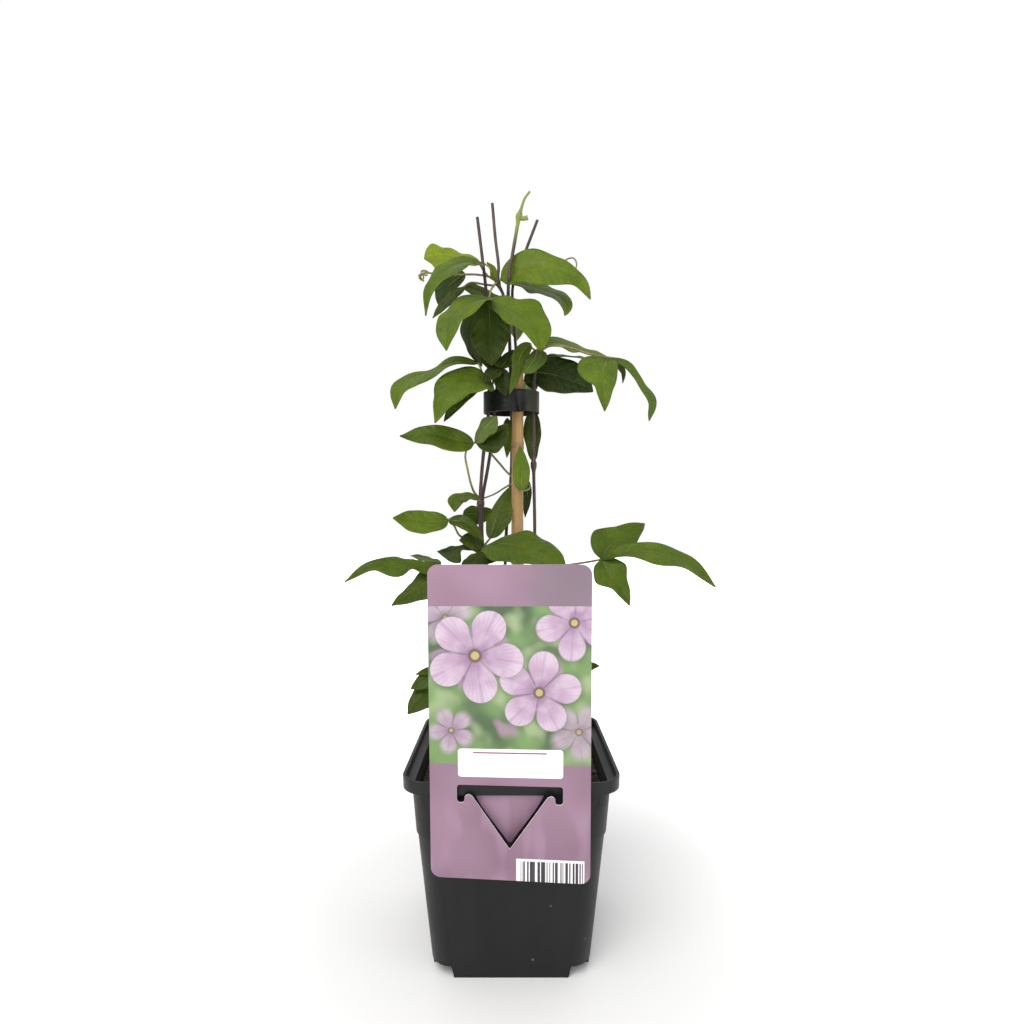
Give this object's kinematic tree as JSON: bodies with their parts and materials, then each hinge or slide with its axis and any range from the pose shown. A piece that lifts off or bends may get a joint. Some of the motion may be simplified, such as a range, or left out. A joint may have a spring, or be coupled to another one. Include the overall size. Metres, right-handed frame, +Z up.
{
  "type": "potted climbing clematis plant",
  "caption": "Young climbing clematis in a square nursery pot of soil, its stems tied with black tape to a bamboo cane, with a card label hooked on the rim.",
  "frame": {"origin": "middle of the pot's underside, on the surface that the pot stands on", "axes": "+Z up along the cane, +X to the right of the label, +Y to the back, so the label faces -Y"},
  "size_m": [0.155, 0.1151, 0.3429],
  "materials": {
    "pot": "moulded recycled polypropylene, satin",
    "soil": "loose dark compost, matt",
    "cane": "dry bamboo, satin",
    "tape": "thin black film, satin",
    "label": "printed card of plastic, satin",
    "stem": "young bark, satin",
    "leaf": "smooth leaf, satin above and matt below"
  },
  "bodies": {
    "root": {"pot": "pot", "soil": "soil", "cane": "cane", "tape": "tape", "label": "label", "stem_left": "stem", "stem_middle": "stem", "stem_back": "stem", "stem_right": "stem", "leaf_01_top_left": "leaf", "leaf_02_top_right": "leaf", "leaf_03_crown": "leaf", "leaf_04_crown_back": "leaf", "leaf_05_inner_left": "leaf", "leaf_06_left": "leaf", "leaf_07_inner_low": "leaf", "leaf_08_right_arm": "leaf", "leaf_09_right_long": "leaf", "leaf_10_right_low": "leaf", "leaf_11_cane_top": "leaf", "leaf_12_mid_left": "leaf", "leaf_13_mid_right": "leaf", "leaf_14_round_cane": "leaf", "leaf_15_low_cane": "leaf", "leaf_16_low_small": "leaf", "leaf_17_low_left": "leaf", "leaf_18_low_left_under": "leaf", "leaf_19_low_front": "leaf", "leaf_20_low_right_front": "leaf", "leaf_21_left_arm": "leaf", "leaf_22_right_arm": "leaf", "leaf_23_base_left": "leaf", "leaf_24_base_right": "leaf", "leaf_25_back_top": "leaf", "leaf_26_back_middle": "leaf", "leaf_27_back_low": "leaf", "leaf_28_under_tape": "leaf", "leaf_29_over_tape": "leaf"}
  },
  "joints": []
}
